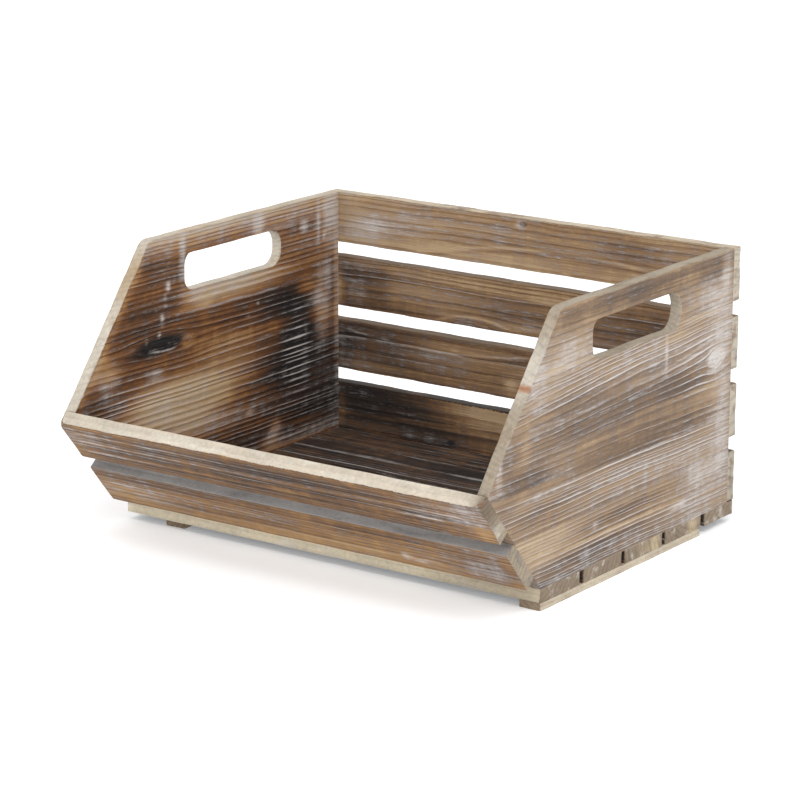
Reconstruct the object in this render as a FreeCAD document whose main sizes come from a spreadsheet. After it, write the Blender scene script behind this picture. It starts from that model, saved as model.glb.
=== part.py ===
import FreeCAD, Part
import os
import re
import Sketcher

# Wooden apple crate: two side boards with hand holes, and softwood slats nailed round them
# with steel brads. Slats close the back, the floor and the lower slope of the front, and two
# thin runners under the floor carry the crate. Nothing on it moves.
#
# Frame: millimetres, +X to the crate's right, +Y to its back, +Z up. The origin is on the
# ground, in the middle of the crate's width and of its overall depth.

doc = FreeCAD.newDocument("apple_crate")
sheet = doc.addObject("Spreadsheet::Sheet", "sizes")

# Sizes that are chosen
CHOSEN = [
    ("crate_width", 400, "overall width, which is every slat's length"),
    ("panel_height", 210, "side board, from its underside to its top edge"),
    ("panel_thickness", 10, "side board"),
    ("floor_reach", 275, "side board, length of its underside"),
    ("lip_reach", 347, "side board, from its rear edge to the front lip"),
    ("lip_height", 88, "front lip above the side board's underside"),
    ("top_length", 252.5, "side board, length of its top edge before rounding"),
    ("top_corner_radius", 12, "rounding where the top edge meets the upper slope"),
    ("lip_radius", 7, "rounding of the front lip"),
    ("panel_arris", 1.2, "sanded edges of the side board"),
    ("grip_length", 127, "hand hole, along the side board"),
    ("grip_height", 30.5, "hand hole"),
    ("grip_drop", 18.6, "wood above the hand hole"),
    ("grip_setback", 81, "hand hole, from the side board's rear edge"),
    ("grip_front_radius", 10, "corners at the front end of the hand hole"),
    ("grip_rear_radius", 14, "corners at the rear end of the hand hole"),
    ("grip_arris", 2, "sanded edge round the hand hole"),
    ("slat_arris", 1, "sanded long edges of slats and runners"),
    ("front_thickness", 11, "front slats"),
    ("front_rise", 1.7, "upper front slat, above the lip along the slope"),
    ("front_upper_width", 45.5, "upper front slat"),
    ("front_gap", 13, "between the front slats"),
    ("front_foot_gap", 13.3, "below the lower front slat, along the slope"),
    ("floor_thickness", 11.2, "floor slats"),
    ("floor_gap", 4.6, "between floor slats"),
    ("floor_rear_width", 45.6, "rear floor slat, ripped to close the floor"),
    ("back_thickness", 10.5, "back slats"),
    ("back_gap", 11.8, "between back slats"),
    ("back_bottom_width", 42, "bottom back slat, ripped to close the back"),
    ("runner_width", 20, "runners"),
    ("runner_height", 6, "runners"),
    ("runner_stop", 2.3, "runner's rear end, short of the fourth floor slat's edge"),
    ("left_runner_inset", 37, "left runner, in from the crate's left end"),
    ("left_runner_setback", 4, "left runner's front end, behind the floor's front edge"),
    ("wire_width", 1.2, "brad's flat wire, along the wood's edge"),
    ("wire_thickness", 1, "brad's flat wire, across the wood's edge"),
    ("head_width", 2, "brad's pressed head"),
    ("head_height", 0.8, "brad's pressed head"),
    ("point_length", 1.6, "brad's chisel point"),
    ("brad_length", 25, "brads in the side boards"),
    ("runner_brad_length", 14, "brads in the runners"),
    ("brad_sink", 0.3, "how far a brad's head is driven under the surface"),
    ("brad_clearance", 0.05, "between a brad and the wood, each side"),
    ("brad_inset", 11, "brad, from a slat's long edge"),
    ("lip_brad_inset", 8.6, "first brad of the upper front slat, from its top edge"),
    ("lip_brad_pitch", 9.1, "between the brads of the upper front slat"),
    ("brad_spare", 3, "wood between brads that cross at the rear bottom corner"),
]

# Sizes that follow from them
DERIVED = [
    ("slope_run", "lip_reach - floor_reach", "lower slope, along Y"),
    ("slope_length", "sqrt(slope_run ^ 2 + lip_height ^ 2)", "lower slope"),
    ("slope_angle", "atan2(lip_height; slope_run)", "lower slope, from level"),
    ("lip_overhang",
     "front_rise * cos(slope_angle) + front_thickness * sin(slope_angle)"
     " - slat_arris * (cos(slope_angle) + sin(slope_angle) - 1)",
     "upper front slat's nose, in front of the lip"),
    ("seat_y", "(lip_reach + lip_overhang - back_thickness) / 2", "side boards' rear edge"),
    ("panel_foot", "runner_height + floor_thickness", "side boards' underside"),
    ("front_lower_width",
     "slope_length + front_rise - front_upper_width - front_gap - front_foot_gap",
     "lower front slat"),
    ("floor_slat_width",
     "(floor_reach + back_thickness - floor_rear_width - 4 * floor_gap) / 4",
     "front four floor slats"),
    ("back_slat_width", "(panel_height - back_bottom_width - 3 * back_gap) / 3",
     "upper three back slats"),
    ("back_brad_reach", "brad_length + brad_sink - back_thickness", "back brads, into the wood"),
    ("closing_brad", "back_brad_reach + brad_spare", "rear floor slat's rear brad, from the rear edge"),
    ("runner_length", "4 * floor_slat_width + 3 * floor_gap - runner_stop", "right runner"),
]

for row, (alias, content, note) in enumerate(CHOSEN + DERIVED, start=1):
    formula = "" if (alias, content, note) in CHOSEN else "="
    sheet.set(f"A{row}", alias)
    sheet.set(f"B{row}", f"{formula}{content}")
    sheet.setAlias(f"B{row}", alias)
    sheet.set(f"C{row}", note)
doc.recompute()

ALIASES = {alias for alias, _, _ in CHOSEN + DERIVED}


# Helpers that bind the model to the sheet

def from_sheet(expression):
    """Write an expression's bare names as cells of the sheet."""
    def cell(word):
        return f"sizes.{word.group()}" if word.group() in ALIASES else word.group()
    return re.sub(r"[a-z_]+\d*", cell, expression)


def bind(item, target, expression):
    item.setExpression(target, from_sheet(expression))


def size(alias):
    return float(sheet.get(alias))


def placement(x, y, z, tilt="0"):
    """A place, turned about the X axis by tilt degrees."""
    turn = f"create(<<rotation>>; create(<<vector>>; 1; 0; 0); {tilt})"
    return f"create(<<placement>>; create(<<vector>>; {x}; {y}; {z}); {turn})"


# Sketch and solid helpers

def new_body(name, where):
    body = doc.addObject("PartDesign::Body", name)
    bind(body, "Placement", where)
    return body


def new_sketch(body, name, plane="XY_Plane", where=None):
    sketch = body.newObject("Sketcher::SketchObject", f"{body.Label}_{name}")
    support = next(item for item in body.Origin.OriginFeatures if item.Role == plane)
    sketch.AttachmentSupport = [(support, "")]
    sketch.MapMode = "FlatFace"
    if where:
        bind(sketch, "AttachmentOffset", where)
    return sketch


def dimension(sketch, kind, first, second, expression):
    index = sketch.addConstraint(Sketcher.Constraint(kind, *first, *second, 1.0))
    bind(sketch, f"Constraints[{index}]", expression)


def add_loop(sketch, start_points):
    """Lines through the points, joined end to end. Returns the first line's number."""
    first = sketch.GeometryCount
    count = len(start_points)
    points = [FreeCAD.Vector(x, y, 0) for x, y in start_points]
    for index in range(count):
        line = Part.LineSegment(points[index], points[(index + 1) % count])
        sketch.addGeometry(line, False)
    for index in range(count):
        joint = (first + index, 2, first + (index + 1) % count, 1)
        sketch.addConstraint(Sketcher.Constraint("Coincident", *joint))
    return first


def polygon(sketch, corners):
    """A closed outline whose corners are pairs of expressions, listed with a rough shape."""
    first = add_loop(sketch, [rough for _, _, rough in corners])
    for index, (x, y, _) in enumerate(corners):
        corner = (first + index, 1)
        dimension(sketch, "DistanceX", (-1, 1), corner, x)
        dimension(sketch, "DistanceY", (-1, 1), corner, y)


def rectangle(sketch, centre_x, centre_y, width, height):
    first = add_loop(sketch, [(-1, -1), (1, -1), (1, 1), (-1, 1)])
    for line, direction in enumerate(["Horizontal", "Vertical", "Horizontal", "Vertical"]):
        sketch.addConstraint(Sketcher.Constraint(direction, first + line))
    low, right, high = (first, 1), (first, 2), (first + 2, 1)
    dimension(sketch, "DistanceX", low, right, width)
    dimension(sketch, "DistanceY", right, high, height)
    dimension(sketch, "DistanceX", (-1, 1), low, f"({centre_x}) - ({width}) / 2")
    dimension(sketch, "DistanceY", (-1, 1), low, f"({centre_y}) - ({height}) / 2")


def pad(body, sketch, length, **settings):
    feature = body.newObject("PartDesign::Pad", f"{sketch.Label}_pad")
    feature.Profile = sketch
    for name, value in settings.items():
        setattr(feature, name, value)
    bind(feature, "Length", length)
    return feature


def pocket(body, sketch, depth, against_normal=True):
    feature = body.newObject("PartDesign::Pocket", f"{sketch.Label}_cut")
    feature.Profile = sketch
    feature.Reversed = not against_normal
    bind(feature, "Length", depth)
    return feature


def fillet(body, feature, name, radius, chosen):
    """Round the edges of the last feature that the test picks."""
    doc.recompute()
    edges = [f"Edge{number}" for number, edge in enumerate(feature.Shape.Edges, start=1)
             if chosen(edge)]
    rounding = body.newObject("PartDesign::Fillet", f"{body.Label}_{name}")
    rounding.Base = (feature, edges)
    bind(rounding, "Radius", radius)
    return rounding


def crosses_at(points):
    """Picks edges that run along X through one of the (y, z) points."""
    def chosen(edge):
        box = edge.BoundBox
        if box.YLength > 0.01 or box.ZLength > 0.01:
            return False
        return any(abs(box.YMin - y) < 0.01 and abs(box.ZMin - z) < 0.01 for y, z in points)
    return chosen


# The side board's outline is walked round in three straight runs, each with slats nailed on:
# down the lower slope, back along the floor and up the rear edge. A run's own frame has Y
# along the run and Z into the wood. Each run has its start (y, z) from the side board's rear
# bottom corner, its tilt about X, and its slats' thickness.
RUNS = {
    "front": ("-lip_reach", "lip_height", "-slope_angle", "front_thickness"),
    "floor": ("-floor_reach", "0", "0", "floor_thickness"),
    "back": ("0", "0", "90", "back_thickness"),
}


def edge_brads(width):
    """Two brads across a slat, the same distance in from each long edge."""
    inset = f"min(brad_inset; ({width}) / 4)"
    return [inset, f"({width}) - {inset}"]


# Each slat: its run, where it starts along the run, its width, and its brads from that start
SLATS = {
    "front_slat_upper": ("front", "-front_rise", "front_upper_width",
                         ["lip_brad_inset", "lip_brad_inset + lip_brad_pitch"]),
    "front_slat_lower": ("front", "front_upper_width - front_rise + front_gap",
                         "front_lower_width", edge_brads("front_lower_width")),
}
for number, name in enumerate(["front", "second", "third", "fourth"]):
    SLATS[f"floor_slat_{name}"] = ("floor", f"{number} * (floor_slat_width + floor_gap)",
                                   "floor_slat_width", edge_brads("floor_slat_width"))
# The rear floor slat runs on under the back slats, so its brads keep to the side board and
# stay in front of the points of the bottom back slat's brads
closing_start = "4 * (floor_slat_width + floor_gap)"
closing_seat = "(floor_rear_width - back_thickness)"
SLATS["floor_slat_rear"] = ("floor", closing_start, "floor_rear_width",
                            [f"({closing_seat} - closing_brad) / 2",
                             f"{closing_seat} - closing_brad"])
SLATS["back_slat_bottom"] = ("back", "0", "back_bottom_width", edge_brads("back_bottom_width"))
for number, name in enumerate(["lower", "upper", "top"]):
    start = f"back_bottom_width + back_gap + {number} * (back_slat_width + back_gap)"
    SLATS[f"back_slat_{name}"] = ("back", start, "back_slat_width",
                                  edge_brads("back_slat_width"))

# Runners: their middle along X, how far their front end is set back, and the floor slats
# that each one is nailed to, by number from the front
RUNNERS = {
    "runner_left": ("left_runner_inset + runner_width / 2 - crate_width / 2",
                    "left_runner_setback"),
    "runner_right": ("(crate_width - runner_width) / 2", "0"),
}
RUNNER_SLATS = ["floor_slat_front", "floor_slat_second", "floor_slat_third", "floor_slat_fourth"]
RUNNER_BRADS = [f"{number} * (floor_slat_width + floor_gap) + floor_slat_width / 2"
                for number in range(len(RUNNER_SLATS))]

END_BRAD_X = "(crate_width - panel_thickness) / 2"
WIRE_HOLE = ("wire_thickness + 2 * brad_clearance", "wire_width + 2 * brad_clearance")
HEAD_HOLE = ("wire_thickness + 2 * brad_clearance", "head_width + 2 * brad_clearance")


def on_run(run, along, inward="0"):
    """The (y, z) place, in the crate's frame, of a point in a run's own frame."""
    start_y, start_z, tilt, _ = RUNS[run]
    y = f"seat_y + ({start_y}) + ({along}) * cos({tilt}) - ({inward}) * sin({tilt})"
    z = f"panel_foot + ({start_z}) + ({along}) * sin({tilt}) + ({inward}) * cos({tilt})"
    return y, z


# Side boards: sawn to a five-cornered outline, with a routed hand hole, sanded all round and
# bored for the brads of all three runs
def make_side_panel(name, x):
    body = new_body(name, placement(x, "seat_y", "panel_foot"))
    outline = new_sketch(body, "outline", "YZ_Plane")
    polygon(outline, [("0", "0", (0, 0)), ("0", "panel_height", (0, 2)),
                      ("-top_length", "panel_height", (-2, 2)),
                      ("-lip_reach", "lip_height", (-3, 1)), ("-floor_reach", "0", (-2, 0))])
    board = pad(body, outline, "panel_thickness")
    top_corner = [(-size("top_length"), size("panel_height"))]
    board = fillet(body, board, "top_corner", "top_corner_radius", crosses_at(top_corner))
    lip = [(-size("lip_reach"), size("lip_height"))]
    board = fillet(body, board, "lip", "lip_radius", crosses_at(lip))

    grip = new_sketch(body, "grip", "YZ_Plane")
    rectangle(grip, "-grip_setback - grip_length / 2",
              "panel_height - grip_drop - grip_height / 2", "grip_length", "grip_height")
    board = pocket(body, grip, "panel_thickness", against_normal=False)
    grip_top = size("panel_height") - size("grip_drop")
    for end, y in (("rear", -size("grip_setback")),
                   ("front", -size("grip_setback") - size("grip_length"))):
        corners = [(y, grip_top), (y, grip_top - size("grip_height"))]
        board = fillet(body, board, f"grip_{end}", f"grip_{end}_radius", crosses_at(corners))

    front_y = -size("grip_setback") - size("grip_length")

    def round_grip(edge):
        box = edge.BoundBox
        flat = box.XLength < 0.01
        inside_y = box.YMin > front_y - 0.01 and box.YMax < -size("grip_setback") + 0.01
        inside_z = box.ZMin > grip_top - size("grip_height") - 0.01 and box.ZMax < grip_top + 0.01
        return flat and inside_y and inside_z

    board = fillet(body, board, "grip_arris", "grip_arris", round_grip)

    def along_top(edge):
        box = edge.BoundBox
        return (box.XLength < 0.01 and box.ZMin > size("panel_height") - 0.01
                and box.YLength > size("grip_length") / 2)

    board = fillet(body, board, "arris", "panel_arris", along_top)

    for run, (start_y, start_z, tilt, thickness) in RUNS.items():
        where = placement("panel_thickness / 2", start_y, start_z, tilt)
        brads = new_sketch(body, f"{run}_brads", where=where)
        for slat_run, start, _, spots in SLATS.values():
            if slat_run == run:
                for spot in spots:
                    rectangle(brads, "0", f"{start} + {spot}", *WIRE_HOLE)
        depth = f"brad_length + brad_sink + brad_clearance - {thickness}"
        pocket(body, brads, depth, against_normal=False)
    return body


# Slats and runners: planed strips with sanded long edges, bored for their brads, with the
# heads' seats cut in the outer face. Their own frame has X along the crate's width, Y across
# the strip from its first edge, and Z inward with the seat at zero.
def make_board(name, width_x, width_y, thickness, where):
    body = new_body(name, where)
    outline = new_sketch(body, "outline")
    rectangle(outline, "0", f"({width_y}) / 2", width_x, width_y)
    board = pad(body, outline, thickness, Reversed=True)
    doc.recompute()
    box = board.Shape.BoundBox
    longest = max(box.XLength, box.YLength)

    def long_edge(edge):
        return abs(edge.Length - longest) < 0.01

    board = fillet(body, board, "arris", "slat_arris", long_edge)
    return body


def bore_brads(body, spots, thickness):
    """Cut the holes and the heads' seats of brads driven through a board."""
    outer_face = placement("0", "0", f"-{thickness}")
    wires = new_sketch(body, "wire_holes", where=outer_face)
    heads = new_sketch(body, "head_seats", where=outer_face)
    for x, y in spots:
        rectangle(wires, x, y, *WIRE_HOLE)
        rectangle(heads, x, y, *HEAD_HOLE)
    wire_holes = pocket(body, wires, thickness, against_normal=False)
    head_seats = pocket(body, heads, "brad_sink + head_height", against_normal=False)
    return [wire_holes, head_seats]


def make_slat(name, run, start, width, spots):
    _, _, tilt, thickness = RUNS[run]
    where = placement("0", *on_run(run, start), tilt)
    body = make_board(name, "crate_width", width, thickness, where)
    holes = bore_brads(body, [(END_BRAD_X, spot) for spot in spots], thickness)
    other_end = body.newObject("PartDesign::Mirrored", f"{name}_other_end")
    other_end.Originals = holes
    middle = next(item for item in body.Origin.OriginFeatures if item.Role == "YZ_Plane")
    other_end.MirrorPlane = (middle, [""])
    body.Tip = other_end
    if name in RUNNER_SLATS:
        below = new_sketch(body, "runner_holes", where=placement("0", "0", f"-{thickness}"))
        for x, _ in RUNNERS.values():
            rectangle(below, x, "floor_slat_width / 2", *WIRE_HOLE)
        depth = "runner_brad_length + brad_sink + brad_clearance - runner_height"
        pocket(body, below, depth, against_normal=False)
    return body


def make_runner(name, x, setback):
    where = placement(x, f"seat_y - floor_reach + {setback}", "runner_height")
    body = make_board(name, "runner_width", f"runner_length - {setback}", "runner_height", where)
    bore_brads(body, [("0", f"{spot} - {setback}") for spot in RUNNER_BRADS], "runner_height")
    return body


# Brads: flat wire with a pressed T head and a chisel point. Their own frame has the middle of
# the head's top at zero and the point up Z. The pattern brads themselves aren't sub-parts.
def make_pattern_brad(name, length):
    body = new_body(name, placement("0", "0", "0"))
    profile = new_sketch(body, "profile", "YZ_Plane")
    head, wire, tip = "head_width / 2", "wire_width / 2", "wire_width / 8"
    right_side = [(head, "0", (2, 0)), (head, "head_height", (2, 1)),
                  (wire, "head_height", (1, 1)), (wire, f"{length} - point_length", (1, 3)),
                  (tip, length, (0.5, 4))]
    left_side = [(f"-{y}", z, (-rough_y, rough_z)) for y, z, (rough_y, rough_z) in right_side]
    polygon(profile, right_side + left_side[::-1])
    pad(body, profile, "wire_thickness", Midplane=True)
    return body


def make_brad_group(name, pattern, places):
    links = []
    for number, where in enumerate(places, start=1):
        link = doc.addObject("App::Link", f"{name}_{number}")
        link.LinkedObject = pattern
        bind(link, "Placement", where)
        links.append(link)
    group = doc.addObject("Part::Compound", name)
    group.Links = links
    return group


def run_brad_places(run):
    _, _, tilt, thickness = RUNS[run]
    places = []
    for slat_run, start, _, spots in SLATS.values():
        if slat_run == run:
            for spot in spots:
                y, z = on_run(run, f"{start} + {spot}", f"brad_sink - {thickness}")
                places += [placement(f"{side}({END_BRAD_X})", y, z, tilt) for side in ("-", "")]
    return places


sub_parts = [make_side_panel("side_panel_left", "-crate_width / 2"),
             make_side_panel("side_panel_right", "crate_width / 2 - panel_thickness")]
sub_parts += [make_slat(name, *details) for name, details in SLATS.items()]
sub_parts += [make_runner(name, *details) for name, details in RUNNERS.items()]

brad = make_pattern_brad("pattern_brad", "brad_length")
sub_parts += [make_brad_group(f"{run}_brads", brad, run_brad_places(run)) for run in RUNS]
short_brad = make_pattern_brad("pattern_runner_brad", "runner_brad_length")
runner_places = [placement(x, f"seat_y - floor_reach + {spot}", "brad_sink")
                 for x, _ in RUNNERS.values() for spot in RUNNER_BRADS]
sub_parts.append(make_brad_group("runner_brads", short_brad, runner_places))

doc.recompute()

# Nothing may have failed, every cut must have removed wood, and every piece must be sound
for item in doc.Objects:
    if "Invalid" in item.State or "Error" in item.State:
        raise RuntimeError(f"{item.Label} failed: {item.State}")
    if item.TypeId == "PartDesign::Pocket":
        removed = item.BaseFeature.Shape.Volume - item.Shape.Volume
        expected = item.Profile[0].Shape.Wires[0].BoundBox.DiagonalLength ** 2 * 0.1
        if removed < expected:
            raise RuntimeError(f"{item.Label} cuts nothing")
for part in sub_parts:
    if part.Shape.isNull() or not part.Shape.isValid():
        raise RuntimeError(f"{part.Label} has no sound shape")

os.makedirs("parts", exist_ok=True)
for part in sub_parts:
    part.Shape.exportStep(f"parts/{part.Label}.step")
print(f"{len(sub_parts)} sub-parts written")
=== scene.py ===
import math
import bpy
import numpy as np
from mathutils import Matrix, Vector


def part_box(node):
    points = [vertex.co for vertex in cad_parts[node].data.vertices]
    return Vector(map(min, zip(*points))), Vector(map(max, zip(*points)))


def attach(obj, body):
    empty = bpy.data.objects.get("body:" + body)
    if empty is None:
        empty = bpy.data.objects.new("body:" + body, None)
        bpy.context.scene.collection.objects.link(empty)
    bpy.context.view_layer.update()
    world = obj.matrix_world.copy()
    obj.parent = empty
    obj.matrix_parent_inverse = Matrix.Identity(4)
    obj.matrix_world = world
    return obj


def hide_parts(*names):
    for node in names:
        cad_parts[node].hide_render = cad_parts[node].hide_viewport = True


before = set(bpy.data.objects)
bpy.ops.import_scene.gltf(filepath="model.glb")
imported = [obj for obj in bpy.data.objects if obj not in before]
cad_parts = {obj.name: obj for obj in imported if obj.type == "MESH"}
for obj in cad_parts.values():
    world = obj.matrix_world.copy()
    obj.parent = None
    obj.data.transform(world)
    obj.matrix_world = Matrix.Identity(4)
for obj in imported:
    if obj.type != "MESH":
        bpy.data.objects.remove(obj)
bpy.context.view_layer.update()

# Side boards
# The crate's two ends are solid softwood boards, sawn to a five-cornered outline with a
# sloping front and a routed hand hole. They were scorched, wire-brushed along the grain,
# limewashed and rubbed back, and their exposed edges were sanded nearly bare.

MM = 0.001
SIDE_THICKNESS = 10 * MM
FLOOR_REACH = 275 * MM
LIP_REACH = 347 * MM
LIP_HEIGHT = 88 * MM
TOP_LENGTH = 252.5 * MM
TOP_CORNER_RADIUS = 12 * MM
LIP_RADIUS = 2.5 * MM
GRIP_LENGTH = 127 * MM
GRIP_HEIGHT = 30.5 * MM
GRIP_DROP = 18.6 * MM
GRIP_SETBACK = 81 * MM
GRIP_FRONT_RADIUS = 10 * MM
GRIP_REAR_RADIUS = 14 * MM
SIDE_ARRIS = 1.2 * MM
SIDE_RELIEF = {"side_panel_left": 0.38 * MM, "side_panel_right": 0.24 * MM}
ALONG_STEP = 4 * MM
ACROSS_STEP = 0.72 * MM
BRUSH_FADE = 3 * MM
WEAR_REACH = 4 * MM
WEAR_LEAST = 0.15 * MM
FAR = 20 * MM
TOUCH = 0.1 * MM
FLAT = 0.05 * MM
STRAIGHT = 0.99
ROUND_STEPS = 8
ARRIS_STEPS = 3
SMOOTH_ANGLE = math.radians(35)

# Uneven waves, each with its size and length: along the grain, finer along it, over the count
# of rings, and along a worn edge
GRAIN_WAVE = (1.4 * MM, 270 * MM)
GRAIN_RIPPLE = (0.2 * MM, 80 * MM)
RING_DRIFT = (0.7, 9)
WEAR_WAVE = (0.5 * MM, 70 * MM)

# How far rings are counted, how they fade and rise in a knot, and where in each ring the hard
# late wood starts, rises, ends and falls away
RING_SPAN = 400 * MM
RING_STEPS = 1601
KNOT_FADE = 1.2
KNOT_RINGS = 1.5
LATE_START, LATE_RISE = 0.35, 0.5
LATE_END, LATE_FALL = 0.9, 0.1
STROKE_FADE = 8


def deselect_all():
    """Leave edit mode and select nothing, because an operator acts on all that is selected."""
    if bpy.context.object and bpy.context.object.mode != "OBJECT":
        bpy.ops.object.mode_set(mode="OBJECT")
    bpy.ops.object.select_all(action="DESELECT")


def new_block(name, size, centre=(0, 0, 0)):
    """A sawn block at its real size and place, selected in object mode."""
    deselect_all()
    bpy.ops.mesh.primitive_cube_add(size=1, location=centre)
    block = bpy.context.object
    block.name = name
    block.scale = size
    bpy.ops.object.transform_apply(location=True, rotation=True, scale=True)
    return block


def bevel_edges(block, width, segments, chosen):
    """Round the edges whose middle and direction pass the test."""
    bpy.ops.object.mode_set(mode="EDIT")
    bpy.ops.mesh.select_all(action="DESELECT")
    bpy.ops.object.mode_set(mode="OBJECT")
    mesh = block.data
    for face in mesh.polygons:
        face.select = False
    for edge in mesh.edges:
        start, end = (mesh.vertices[i].co for i in edge.vertices)
        edge.select = bool(chosen((start + end) / 2, (end - start).normalized()))
    bpy.ops.object.mode_set(mode="EDIT")
    bpy.ops.mesh.select_mode(type="EDGE")
    bpy.ops.mesh.bevel(offset=width, segments=segments, profile=0.5)
    bpy.ops.object.mode_set(mode="OBJECT")


def cut_away(block, cutter):
    """Cut one solid out of another and delete the cutter."""
    bpy.context.view_layer.objects.active = block
    cut = block.modifiers.new("cut", "BOOLEAN")
    cut.operation = "DIFFERENCE"
    cut.object = cutter
    bpy.ops.object.modifier_apply(modifier=cut.name)
    bpy.data.objects.remove(cutter)


def slice_up(block, axis, step):
    """Divide all faces by parallel planes, so that the brushed grain has vertices to follow."""
    places = [vertex.co[axis] for vertex in block.data.vertices]
    low, high = min(places), max(places)
    count = int((high - low) / step)
    normal = [0, 0, 0]
    normal[axis] = 1
    deselect_all()
    block.select_set(True)
    bpy.context.view_layer.objects.active = block
    bpy.ops.object.mode_set(mode="EDIT")
    for number in range(1, count):
        place = [0, 0, 0]
        place[axis] = low + (high - low) * number / count
        bpy.ops.mesh.select_all(action="SELECT")
        bpy.ops.mesh.bisect(plane_co=place, plane_no=normal)
    bpy.ops.object.mode_set(mode="OBJECT")


def points_of(piece):
    """The places of a piece's vertices, one in each row."""
    flat = np.empty(len(piece.data.vertices) * 3)
    piece.data.vertices.foreach_get("co", flat)
    return flat.reshape(-1, 3)


def store(piece, name, values):
    """Keep a value or a vector for each vertex, for the wood's material to read."""
    kind = "FLOAT_VECTOR" if values.ndim == 2 else "FLOAT"
    field = "vector" if values.ndim == 2 else "value"
    layer = piece.data.attributes.new(name, kind, "POINT")
    layer.data.foreach_set(field, values.astype(np.float32).ravel())


def slow_wave(along, seed, size, length):
    """A gentle uneven wave, the same for the same seed."""
    rng = np.random.default_rng(seed)
    total = np.zeros_like(along)
    for share in (1.0, 0.53, 0.29, 0.17):
        shift = rng.uniform(0, 2 * math.pi)
        total += share * np.sin(along * 2 * math.pi / (length * share) + shift)
    return total * size / 2


def growth_rings(grain, along, across, depth):
    """The number of growth rings up to each point of a board, and its knots' mask.

    The grain has the pith's place beside the board, the ring widths by height, the tilt of
    the grain by height, and the knots, round which the rings flow as water round a pile."""
    height = across
    tilt = np.interp(height / MM, *zip(*grain.get("tilt", [(0, 0.0)])))
    across = across - tilt * along
    wave, length = GRAIN_WAVE
    across = across + slow_wave(along, grain["seed"], grain.get("wave", wave), length)
    across = across + slow_wave(along + across * 3, grain["seed"] + 1, *GRAIN_RIPPLE)
    knot_mask = np.zeros_like(along)
    for knot_along, knot_across, radius, stretch in grain.get("knots", []):
        run = (along - knot_along * MM) / stretch
        rise = height - knot_across * MM
        near = np.sqrt(run ** 2 + rise ** 2) / (radius * MM)
        knot_mask = np.maximum(knot_mask, np.clip(KNOT_FADE - near, 0, 1))
        across = across - rise / np.maximum(near, 1) ** 2
        across = across + np.clip(1 - near, 0, 1) * radius * KNOT_RINGS * MM
    pith_across, pith_depth = grain["pith"]
    reach = np.sqrt((across - pith_across) ** 2 + (depth - pith_depth) ** 2)
    reach = reach - math.hypot(pith_across, pith_depth)
    heights, widths = zip(*grain["widths"])
    steps = np.linspace(-RING_SPAN, RING_SPAN, RING_STEPS)
    counts = np.cumsum((steps[1] - steps[0]) / (np.interp(steps / MM, heights, widths) * MM))
    rings = np.interp(reach, steps, counts)
    return rings + slow_wave(rings, grain["seed"] + 2, *RING_DRIFT), knot_mask


def patches(marks, along, across):
    """Soft patches, each with its middle and two radii in millimetres, and its strength."""
    total = np.zeros_like(along)
    for middle_along, middle_across, radius_along, radius_across, strength in marks:
        run = (along - middle_along * MM) / (radius_along * MM)
        rise = (across - middle_across * MM) / (radius_across * MM)
        total += strength * np.exp(-(run ** 2 + rise ** 2) ** 1.5)
    return total


def strokes(marks, along, across):
    """Drawn lines, each through three points in millimetres, with its half width and strength."""
    total = np.zeros_like(along)
    for start, middle, end, width, strength in marks:
        places, heights = zip(start, middle, end)
        rise = across / MM - np.polyval(np.polyfit(places, heights, 2), along / MM)
        fade_in = np.clip((along / MM - start[0]) / STROKE_FADE, 0, 1)
        fade_out = np.clip((end[0] - along / MM) / STROKE_FADE, 0, 1)
        total += strength * (fade_in * fade_out) * np.exp(-(rise / width) ** 2)
    return total


def brushed(rings):
    """How proud the hard late wood of each ring stands after brushing, from 0 to 1."""
    phase = rings - np.floor(rings)
    risen = np.clip((phase - LATE_START) / LATE_RISE, 0, 1)
    return risen - np.clip((phase - LATE_END) / LATE_FALL, 0, 1)


def slope_of(gap, points):
    """The direction in which a distance grows, in the plane of the board."""
    step = 0.05 * MM
    sides = []
    for axis in (0, 1):
        shift = np.zeros(3)
        shift[axis] = step
        sides.append((gap(points + shift) - gap(points - shift)) / (2 * step))
    return np.stack(sides, 1)


def finish_board(piece, looks, outline_gap, open_gap, bare_gap, end_gap, broad, relief):
    """Brush the broad faces, wear the edges, and store what the material reads.

    The board still lies in its own frame: X along the grain, Y across it, Z through it."""
    local = points_of(piece)
    along, across, depth = local.T
    grain = looks["grain"]
    rings, knots = growth_rings(grain, along, across, depth)
    store(piece, "board", np.stack([along, across, depth], 1) + looks["shift"])
    store(piece, "rings", rings)
    store(piece, "knots", knots)
    for key in ("scorch", "lime", "lines"):
        sides = []
        for side in (looks["face"], looks["reverse"]):
            marks = patches(side.get(key, []), along, across)
            drawn = strokes(side.get(key + "_strokes", []), along, across)
            sides.append(looks[key] + marks + drawn)
        store(piece, key, np.where(depth > 0, *sides))
    store(piece, "side_gap", bare_gap(local))
    store(piece, "end_gap", end_gap(local))
    store(piece, "sawn", np.clip(patches(looks.get("sawn", []), along, across), 0, 1))

    hollow = relief * (1 - brushed(rings)) * np.clip(outline_gap(local) / BRUSH_FADE, 0, 1)
    worn = slow_wave(along + across * 1.7, grain["seed"] + 5, *WEAR_WAVE) + WEAR_LEAST
    worn = np.clip(worn, 0, None) * np.clip(1 - open_gap(local) / WEAR_REACH, 0, 1)
    local[:, :2] += slope_of(open_gap, local) * worn[:, None]
    local[:, 2] -= np.where(broad, np.sign(depth), 0.0) * hollow
    piece.data.vertices.foreach_set("co", local.ravel())
    piece.data.update()


def srgb(red, green, blue):
    """A colour from 0 to 255, as a screen shows it, made linear."""
    def channel(value):
        share = value / 255
        return share / 12.92 if share <= 0.04045 else ((share + 0.055) / 1.055) ** 2.4
    return (channel(red), channel(green), channel(blue), 1.0)


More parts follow.
